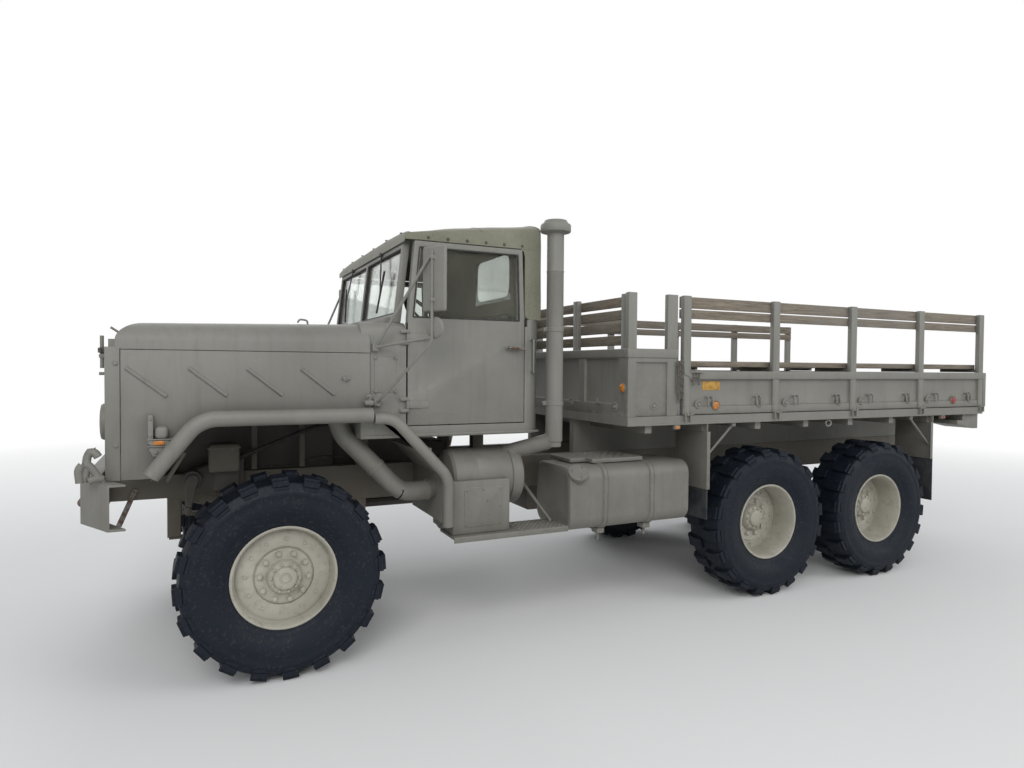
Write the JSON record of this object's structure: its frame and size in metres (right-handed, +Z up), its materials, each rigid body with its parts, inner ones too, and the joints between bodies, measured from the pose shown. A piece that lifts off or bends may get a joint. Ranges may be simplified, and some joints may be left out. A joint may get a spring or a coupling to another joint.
{
  "type": "cargo truck",
  "caption": "Six-wheel-drive dropside cargo truck with tilting hood, canvas cab roof, folding benches and slatted side racks.",
  "frame": {"origin": "on the ground below the middle of the bounding box", "axes": "X forward, Y to the truck's left, Z up"},
  "size_m": [7.9299, 2.9268, 2.95],
  "materials": {
    "tan_paint": "flat sand-grey paint with rust and dust",
    "wheel_paint": "cream paint, chalky",
    "tyre": "dusty black rubber",
    "wood": "weathered grey-brown boards",
    "glass": "dusty clear glass",
    "canvas": "khaki-green canvas",
    "seat_cover": "dark green coated fabric",
    "flap_rubber": "black rubber sheet",
    "bare_steel": "worn steel with rust",
    "engine_paint": "oily dark cast metal",
    "axle_paint": "dusty dark tan paint",
    "lamp_housing": "lamp lenses and housings"
  },
  "bodies": {
    "chassis": {"chassis_frame": "axle_paint", "pintle": "bare_steel", "front_bumper": "tan_paint", "tow_shackles": "bare_steel", "engine": "engine_paint", "transmission": "engine_paint", "steering_box": "axle_paint", "radiator": "engine_paint", "propshafts": "engine_paint", "front_axle": "axle_paint", "rear_axles": "axle_paint", "springs": "axle_paint", "rear_fenders": "tan_paint", "cab_shell": "tan_paint", "windshield_frame": "tan_paint", "windshield_glass": "glass", "cab_roof": "canvas", "seats": "seat_cover", "seat_bases": "tan_paint", "dash": "tan_paint", "mirrors": "tan_paint", "air_intake": "tan_paint", "fuel_tank": "tan_paint", "exhaust": "tan_paint", "side_boxes": "tan_paint", "bed_floor": "tan_paint", "bed_front": "tan_paint", "rack_slats_front": "wood", "bed_guards": "tan_paint", "bed_lamps": "lamp_housing", "mud_flaps": "flap_rubber"},
    "hood": {"hood_shell": "tan_paint", "hood_grille": "tan_paint", "hood_lamps": "lamp_housing"},
    "door_left": {"door_left": "tan_paint", "door_glass_left": "glass"},
    "door_right": {"door_right": "tan_paint", "door_glass_right": "glass"},
    "dropside_left": {"dropside_left": "tan_paint", "side_wood_left": "wood"},
    "dropside_right": {"dropside_right": "tan_paint", "side_wood_right": "wood"},
    "tailgate": {"tailgate": "tan_paint"},
    "knuckle_left": {"knuckle_left": "axle_paint"},
    "knuckle_right": {"knuckle_right": "axle_paint"},
    "tie_rod": {"tie_rod": "axle_paint"},
    "wheel_front_left": {"tyre_front_left": "tyre", "wheel_front_left": "wheel_paint"},
    "wheel_front_right": {"tyre_front_right": "tyre", "wheel_front_right": "wheel_paint"},
    "wheel_middle_left": {"tyre_middle_left": "tyre", "wheel_middle_left": "wheel_paint"},
    "wheel_middle_right": {"tyre_middle_right": "tyre", "wheel_middle_right": "wheel_paint"},
    "wheel_rear_left": {"tyre_rear_left": "tyre", "wheel_rear_left": "wheel_paint"},
    "wheel_rear_right": {"tyre_rear_right": "tyre", "wheel_rear_right": "wheel_paint"}
  },
  "joints": [
    {"name": "steer_left", "type": "hinge", "parent": "chassis", "child": "knuckle_left", "pos_m": [2.825, 0.86, 0.6141], "axis": [0, 0, 1], "range_deg": [-28, 28]},
    {"name": "steer_right", "type": "hinge", "parent": "chassis", "child": "knuckle_right", "pos_m": [2.825, -0.86, 0.6141], "axis": [0, 0, 1], "range_deg": [-28, 28]},
    {"name": "tie_rod_swing", "type": "hinge", "parent": "knuckle_left", "child": "tie_rod", "pos_m": [2.675, 0.86, 0.5061], "axis": [0, 0, 1], "range_deg": [-28, 28]},
    {"name": "spin_front_left", "type": "hinge", "parent": "knuckle_left", "child": "wheel_front_left", "pos_m": [2.825, 0.99, 0.6141], "axis": [0, 1, 0], "continuous": true},
    {"name": "spin_front_right", "type": "hinge", "parent": "knuckle_right", "child": "wheel_front_right", "pos_m": [2.825, -0.99, 0.6141], "axis": [0, 1, 0], "continuous": true},
    {"name": "spin_middle_left", "type": "hinge", "parent": "chassis", "child": "wheel_middle_left", "pos_m": [-1.036, 1.05, 0.6141], "axis": [0, 1, 0], "continuous": true},
    {"name": "spin_middle_right", "type": "hinge", "parent": "chassis", "child": "wheel_middle_right", "pos_m": [-1.036, -1.05, 0.6141], "axis": [0, 1, 0], "continuous": true},
    {"name": "spin_rear_left", "type": "hinge", "parent": "chassis", "child": "wheel_rear_left", "pos_m": [-2.408, 1.05, 0.6141], "axis": [0, 1, 0], "continuous": true},
    {"name": "spin_rear_right", "type": "hinge", "parent": "chassis", "child": "wheel_rear_right", "pos_m": [-2.408, -1.05, 0.6141], "axis": [0, 1, 0], "continuous": true},
    {"name": "hood_tilt", "type": "hinge", "parent": "chassis", "child": "hood", "pos_m": [3.73, 0, 1.304], "axis": [0, 1, 0], "range_deg": [0, 70]},
    {"name": "door_left_swing", "type": "hinge", "parent": "chassis", "child": "door_left", "pos_m": [2.061, 1.1, 1.86], "axis": [0, 0, -1], "range_deg": [0, 60]},
    {"name": "door_right_swing", "type": "hinge", "parent": "chassis", "child": "door_right", "pos_m": [2.061, -1.1, 1.86], "axis": [0, 0, 1], "range_deg": [0, 60]},
    {"name": "dropside_left_drop", "type": "hinge", "parent": "chassis", "child": "dropside_left", "pos_m": [-1.9825, 1.249, 1.536], "axis": [-1, 0, 0], "range_deg": [0, 175]},
    {"name": "dropside_right_drop", "type": "hinge", "parent": "chassis", "child": "dropside_right", "pos_m": [-1.9825, -1.249, 1.536], "axis": [1, 0, 0], "range_deg": [0, 175]},
    {"name": "tailgate_drop", "type": "hinge", "parent": "chassis", "child": "tailgate", "pos_m": [-3.941, 0, 1.536], "axis": [0, -1, 0], "range_deg": [0, 175]}
  ],
  "couplings": [
    {"joint": "steer_right", "follows": "steer_left", "ratio": 1},
    {"joint": "tie_rod_swing", "follows": "steer_left", "ratio": -1}
  ]
}
